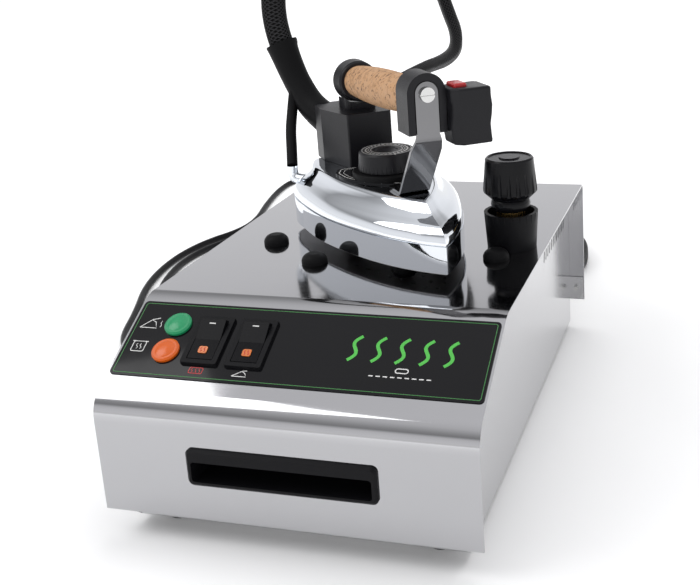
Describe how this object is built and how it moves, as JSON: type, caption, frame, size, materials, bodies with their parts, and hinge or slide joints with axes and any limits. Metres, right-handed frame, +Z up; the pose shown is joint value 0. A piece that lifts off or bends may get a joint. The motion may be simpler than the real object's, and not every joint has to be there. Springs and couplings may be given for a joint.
{
  "type": "steam generator iron",
  "caption": "Professional ironing station: slanted-front steel boiler cabinet with a cork-handled iron resting on studs, joined by a steam hose, with filler cap and mains lead.",
  "frame": {"origin": "middle of the cabinet's footprint (over its front bezel and rear glands) at table level", "axes": "+X to the right seen from the control slope, +Y to the rear, +Z up"},
  "size_m": [0.4794, 0.8655, 0.3901],
  "materials": {
    "stainless_cover": "polished folded sheet with fine grain",
    "zinc_tray": "satin galvanised sheet",
    "black_rubber": "matt moulded rubber",
    "black_plastic": "satin moulded plastic",
    "gloss_black": "glossy black",
    "amber_lens": "clear amber",
    "green_lens": "clear green",
    "orange_lens": "clear orange",
    "screw_steel": "bright zinc",
    "brass": "machined brass",
    "boiler_steel": "drawn stainless",
    "copper_pipe": "drawn copper",
    "coil_blue": "moulded coil",
    "silicone_red": "soft silicone",
    "cast_alu": "cast and machined",
    "iron_chrome": "bright plated",
    "cork": "ground and sealed cork",
    "bakelite": "moulded phenolic",
    "button_red": "moulded red",
    "hose_braid": "braided sleeve",
    "cord_pvc": "smooth black sheath",
    "terminal_white": "moulded ceramic-like"
  },
  "bodies": {
    "base": {"boiler_element": "boiler_steel", "boiler_saddles": "zinc_tray", "boiler_tank": "boiler_steel", "chassis_tray": "zinc_tray", "control_label": "gloss_black", "cord_gland": "black_plastic", "cover_screws": "screw_steel", "cover_shell": "stainless_cover", "feet": "black_rubber", "filler_collar": "black_plastic", "filler_neck": "brass", "filler_pipe": "copper_pipe", "green_lamp": "green_lens", "hose_coil": "hose_braid", "hose_gland": "black_plastic", "hose_lower": "hose_braid", "mains_plug": "cord_pvc", "orange_lamp": "orange_lens", "power_cord": "cord_pvc", "pressure_switch": "brass", "pull_handle": "black_plastic", "rest_studs": "black_rubber", "safety_thermostat": "cast_alu", "steam_pipe": "copper_pipe", "switch_housings": "black_plastic", "terminal_block": "terminal_white", "valve_body": "brass", "valve_coil": "coil_blue", "valve_spring": "screw_steel"},
    "iron": {"sole_plate": "cast_alu", "heater_block": "cast_alu", "heating_rod": "boiler_steel", "iron_skirt": "iron_chrome", "iron_cover": "iron_chrome", "badge_plate": "gloss_black", "dial_base": "black_rubber", "iron_thermostat": "terminal_white", "cork_grip": "cork", "handle_rod": "screw_steel", "front_cap": "bakelite", "rear_cap": "bakelite", "front_bracket": "iron_chrome", "bracket_screws": "screw_steel", "rear_hood": "bakelite", "switch_box": "bakelite", "microswitch": "black_plastic", "hose_boot": "black_rubber", "steam_elbow": "iron_chrome", "branch_tube": "black_rubber", "hose_upper": "hose_braid"},
    "dial": {"dial_knob": "bakelite", "dial_spindle": "screw_steel"},
    "button": {"steam_button": "button_red"},
    "boiler_switch": {"boiler_rocker": "gloss_black", "boiler_rocker_window": "amber_lens"},
    "iron_switch": {"iron_rocker": "gloss_black", "iron_rocker_window": "amber_lens"},
    "cap_rise": {"cap_seal": "silicone_red"},
    "cap": {"filler_cap": "bakelite"},
    "valve": {"valve_plunger": "screw_steel"}
  },
  "joints": [
    {"name": "iron_lift", "type": "slide", "parent": "base", "child": "iron", "axis": [0, 0, 1], "range_m": [0, 0.06]},
    {"name": "dial_turn", "type": "hinge", "parent": "iron", "child": "dial", "pos_m": [0.00746, 0.00754, 0.1945], "axis": [0, 0, 1], "range_deg": [-270, 0]},
    {"name": "button_press", "type": "slide", "parent": "iron", "child": "button", "axis": [0, 0, -1], "range_m": [0, 0.0026], "stiffness_N_per_m": 600},
    {"name": "boiler_rocker_tilt", "type": "hinge", "parent": "base", "child": "boiler_switch", "pos_m": [-0.0644, -0.15556, 0.11691], "axis": [-1, 0, 0], "range_deg": [0, 14]},
    {"name": "iron_rocker_tilt", "type": "hinge", "parent": "base", "child": "iron_switch", "pos_m": [-0.0339, -0.15556, 0.11691], "axis": [-1, 0, 0], "range_deg": [0, 14]},
    {"name": "cap_lift", "type": "slide", "parent": "base", "child": "cap_rise", "axis": [0, 0, 1], "range_m": [0, 0.00363]},
    {"name": "cap_turn", "type": "hinge", "parent": "cap_rise", "child": "cap", "pos_m": [0.0996, 0.009, 0.18], "axis": [0, 0, 1], "range_deg": [0, 720]},
    {"name": "valve_lift", "type": "slide", "parent": "base", "child": "valve", "axis": [0, 0, 1], "range_m": [0, 0.003], "stiffness_N_per_m": 400, "deforming": ["valve_spring"]}
  ],
  "couplings": [
    {"joint": "cap_lift", "follows": "cap_turn", "m_per_rad": 0.00028871}
  ]
}
